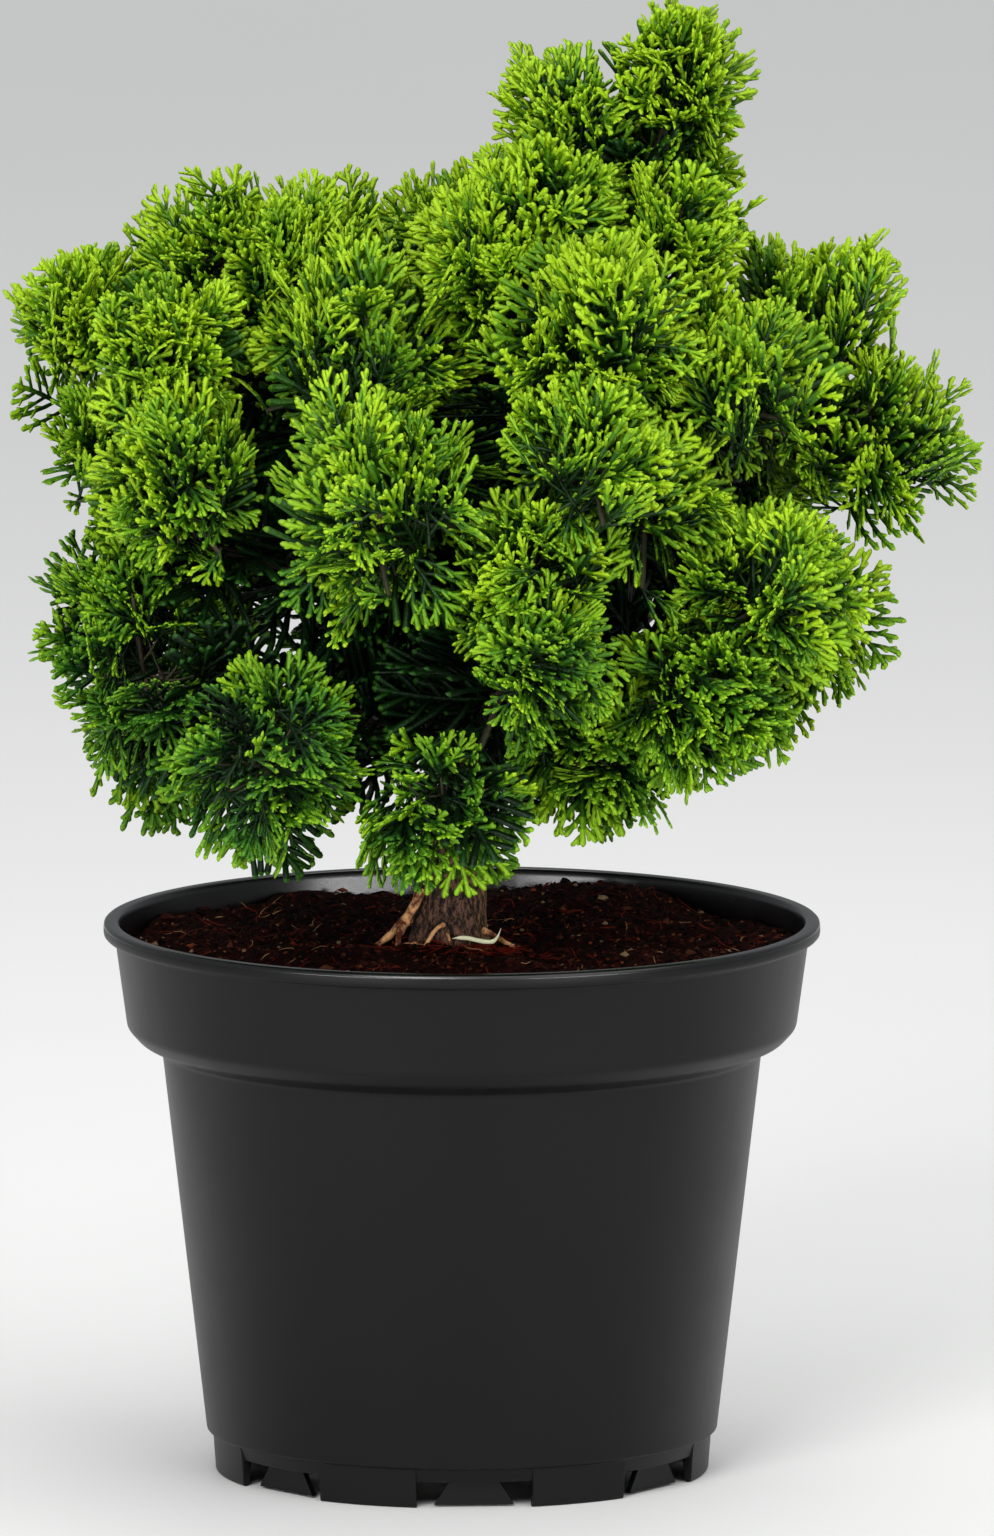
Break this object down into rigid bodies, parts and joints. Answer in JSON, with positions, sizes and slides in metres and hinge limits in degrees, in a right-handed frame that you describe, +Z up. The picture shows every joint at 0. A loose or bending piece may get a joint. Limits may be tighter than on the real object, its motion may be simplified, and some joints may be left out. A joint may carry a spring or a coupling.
{
  "type": "potted dwarf conifer",
  "caption": "Small evergreen conifer with fan-shaped sprays in tufts on a leaning trunk, growing in a round black nursery pot filled with compost.",
  "frame": {"origin": "on the ground under the middle of the pot", "axes": "+Z up along the pot's axis; -Y toward the side that the picture shows; +X to the right in the picture, the side to which the trunk leans"},
  "size_m": [0.2528, 0.2282, 0.3913],
  "materials": {
    "pot": "satin black moulded polypropylene",
    "soil": "moist dark red-brown compost with fibres and bits of bark",
    "bark": "grey-brown bark in narrow upright strips",
    "foliage": "satin green scale leaves, lime at the tips"
  },
  "bodies": {
    "root": {"pot": "pot", "soil": "soil", "trunk": "bark", "bough_top_left": "bark", "bough_left_top": "bark", "bough_left_mid": "bark", "bough_left_low": "bark", "bough_front_left": "bark", "bough_front_right": "bark", "bough_front_low": "bark", "bough_right_top": "bark", "bough_right_low": "bark", "bough_back_right": "bark", "bough_back_top": "bark", "bough_back_left": "bark", "bough_back_low": "bark", "foliage_leader_1": "foliage", "foliage_leader_2": "foliage", "foliage_leader_3": "foliage", "foliage_leader_4": "foliage", "foliage_leader_5": "foliage", "foliage_top_left_1": "foliage", "foliage_top_left_2": "foliage", "foliage_top_left_3": "foliage", "foliage_top_left_4": "foliage", "foliage_left_top_1": "foliage", "foliage_left_top_2": "foliage", "foliage_left_top_3": "foliage", "foliage_left_top_4": "foliage", "foliage_left_mid_1": "foliage", "foliage_left_mid_2": "foliage", "foliage_left_mid_3": "foliage", "foliage_left_low_1": "foliage", "foliage_left_low_2": "foliage", "foliage_left_low_3": "foliage", "foliage_front_left_1": "foliage", "foliage_front_left_2": "foliage", "foliage_front_right_1": "foliage", "foliage_front_right_2": "foliage", "foliage_front_right_3": "foliage", "foliage_front_low_1": "foliage", "foliage_front_low_2": "foliage", "foliage_front_low_3": "foliage", "foliage_front_low_4": "foliage", "foliage_right_top_1": "foliage", "foliage_right_top_2": "foliage", "foliage_right_top_3": "foliage", "foliage_right_low_1": "foliage", "foliage_right_low_2": "foliage", "foliage_right_low_3": "foliage", "foliage_back_right_1": "foliage", "foliage_back_right_2": "foliage", "foliage_back_right_3": "foliage", "foliage_back_top_1": "foliage", "foliage_back_top_2": "foliage", "foliage_back_left_1": "foliage", "foliage_back_left_2": "foliage", "foliage_back_left_3": "foliage", "foliage_back_low_1": "foliage", "foliage_back_low_2": "foliage"}
  },
  "joints": []
}
